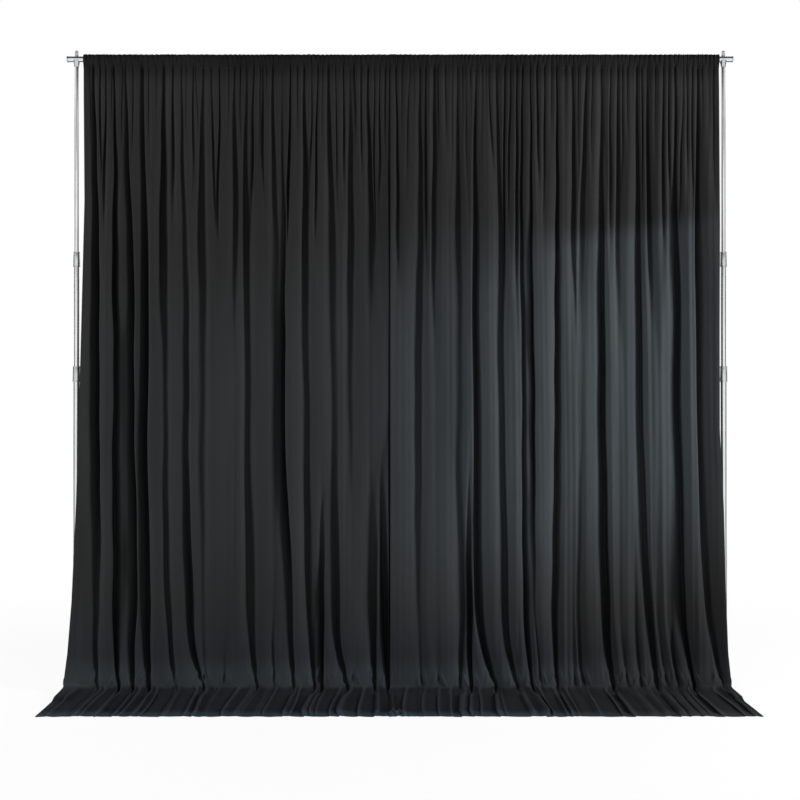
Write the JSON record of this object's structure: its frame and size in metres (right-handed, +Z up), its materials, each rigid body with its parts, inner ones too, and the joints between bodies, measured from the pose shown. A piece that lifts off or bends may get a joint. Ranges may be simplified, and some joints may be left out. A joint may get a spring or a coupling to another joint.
{
  "type": "pipe and drape backdrop",
  "caption": "Free-standing backdrop: two telescopic uprights on flat feet carry a crossbar with two gathered black drape panels that reach the floor.",
  "frame": {"origin": "on the floor, midway between the two uprights and midway between the front hem and the back ends of the feet", "axes": "+Z up, +X to the viewer's right along the crossbar, front faces -Y"},
  "size_m": [3.1746, 0.76, 3.0302],
  "materials": {
    "polished_tube": "polished",
    "cast_grey": "satin",
    "zinc_plate": "satin",
    "powder_black": "matte",
    "foot_rubber": "matte",
    "guide_nylon": "satin",
    "paddle_grey": "satin",
    "shoe_brass": "satin",
    "drape_black": "matte"
  },
  "bodies": {
    "ground_frame": {"left_foot": "powder_black", "left_front_foot_pad": "foot_rubber", "left_back_foot_pad": "foot_rubber", "left_spigot": "zinc_plate", "left_foot_bolt": "zinc_plate", "left_lower_tube": "polished_tube", "left_stop_rivet": "zinc_plate", "left_lower_collar": "cast_grey", "left_lower_clamp_shoe": "shoe_brass", "right_foot": "powder_black", "right_front_foot_pad": "foot_rubber", "right_back_foot_pad": "foot_rubber", "right_spigot": "zinc_plate", "right_foot_bolt": "zinc_plate", "right_lower_tube": "polished_tube", "right_stop_rivet": "zinc_plate", "right_lower_collar": "cast_grey", "right_lower_clamp_shoe": "shoe_brass", "left_drape_train": "drape_black", "right_drape_train": "drape_black"},
    "left_middle": {"left_middle_tube": "polished_tube", "left_middle_guide_sleeve": "guide_nylon", "left_upper_collar": "cast_grey", "left_upper_clamp_shoe": "shoe_brass"},
    "right_middle": {"right_middle_tube": "polished_tube", "right_middle_guide_sleeve": "guide_nylon", "right_upper_collar": "cast_grey", "right_upper_clamp_shoe": "shoe_brass"},
    "head": {"left_top_tube": "polished_tube", "left_top_guide_sleeve": "guide_nylon", "left_top_fitting": "cast_grey", "left_fitting_stud": "zinc_plate", "left_saddle_washer": "cast_grey", "right_top_tube": "polished_tube", "right_top_guide_sleeve": "guide_nylon", "right_top_fitting": "cast_grey", "right_fitting_stud": "zinc_plate", "right_saddle_washer": "cast_grey", "crossbar_left_section": "polished_tube", "crossbar_middle_section": "polished_tube", "crossbar_right_section": "polished_tube", "left_joining_sleeve": "zinc_plate", "right_joining_sleeve": "zinc_plate", "left_snap_spring": "zinc_plate", "right_snap_spring": "zinc_plate", "left_end_cap": "cast_grey", "right_end_cap": "cast_grey", "left_drape": "drape_black", "right_drape": "drape_black"},
    "left_lower_clamp": {"left_lower_clamp_screw": "paddle_grey"},
    "right_lower_clamp": {"right_lower_clamp_screw": "paddle_grey"},
    "left_upper_clamp": {"left_upper_clamp_screw": "paddle_grey"},
    "right_upper_clamp": {"right_upper_clamp_screw": "paddle_grey"},
    "left_nut": {"left_hand_nut": "polished_tube"},
    "right_nut": {"right_hand_nut": "polished_tube"},
    "left_outer_button": {"left_outer_snap_button": "zinc_plate"},
    "left_inner_button": {"left_inner_snap_button": "zinc_plate"},
    "right_outer_button": {"right_outer_snap_button": "zinc_plate"},
    "right_inner_button": {"right_inner_snap_button": "zinc_plate"}
  },
  "joints": [
    {"name": "left_lower_stage", "type": "slide", "parent": "ground_frame", "child": "left_middle", "axis": [0, 0, 1], "range_m": [-0.474, 0], "deforming": ["left_drape", "right_drape"]},
    {"name": "right_lower_stage", "type": "slide", "parent": "ground_frame", "child": "right_middle", "axis": [0, 0, 1], "range_m": [-0.474, 0]},
    {"name": "upper_stage", "type": "slide", "parent": "left_middle", "child": "head", "axis": [0, 0, 1], "range_m": [-0.88, 0], "deforming": ["left_drape", "right_drape"]},
    {"name": "left_lower_clamp_turn", "type": "hinge", "parent": "ground_frame", "child": "left_lower_clamp", "pos_m": [-1.542, 0.14, 1.5049], "axis": [0, 1, 0], "range_deg": [0, 180]},
    {"name": "right_lower_clamp_turn", "type": "hinge", "parent": "ground_frame", "child": "right_lower_clamp", "pos_m": [1.542, 0.14, 1.5049], "axis": [0, 1, 0], "range_deg": [0, 180]},
    {"name": "left_upper_clamp_turn", "type": "hinge", "parent": "left_middle", "child": "left_upper_clamp", "pos_m": [-1.542, 0.14, 2.0509], "axis": [0, 1, 0], "range_deg": [0, 180]},
    {"name": "right_upper_clamp_turn", "type": "hinge", "parent": "right_middle", "child": "right_upper_clamp", "pos_m": [1.542, 0.14, 2.0509], "axis": [0, 1, 0], "range_deg": [0, 180]},
    {"name": "left_nut_turn", "type": "hinge", "parent": "head", "child": "left_nut", "pos_m": [-1.542, 0.14, 3], "axis": [0, 0, 1], "continuous": true},
    {"name": "right_nut_turn", "type": "hinge", "parent": "head", "child": "right_nut", "pos_m": [1.542, 0.14, 3], "axis": [0, 0, 1], "continuous": true},
    {"name": "left_outer_button_press", "type": "slide", "parent": "head", "child": "left_outer_button", "axis": [0, 0, 1], "range_m": [0, 0.0045], "stiffness_N_per_m": 400, "deforming": ["left_snap_spring"]},
    {"name": "left_inner_button_press", "type": "slide", "parent": "head", "child": "left_inner_button", "axis": [0, 0, 1], "range_m": [0, 0.0045], "stiffness_N_per_m": 400, "deforming": ["left_snap_spring"]},
    {"name": "right_outer_button_press", "type": "slide", "parent": "head", "child": "right_outer_button", "axis": [0, 0, 1], "range_m": [0, 0.0045], "stiffness_N_per_m": 400, "deforming": ["right_snap_spring"]},
    {"name": "right_inner_button_press", "type": "slide", "parent": "head", "child": "right_inner_button", "axis": [0, 0, 1], "range_m": [0, 0.0045], "stiffness_N_per_m": 400, "deforming": ["right_snap_spring"]}
  ],
  "couplings": [
    {"joint": "right_lower_stage", "follows": "left_lower_stage", "ratio": 1}
  ]
}
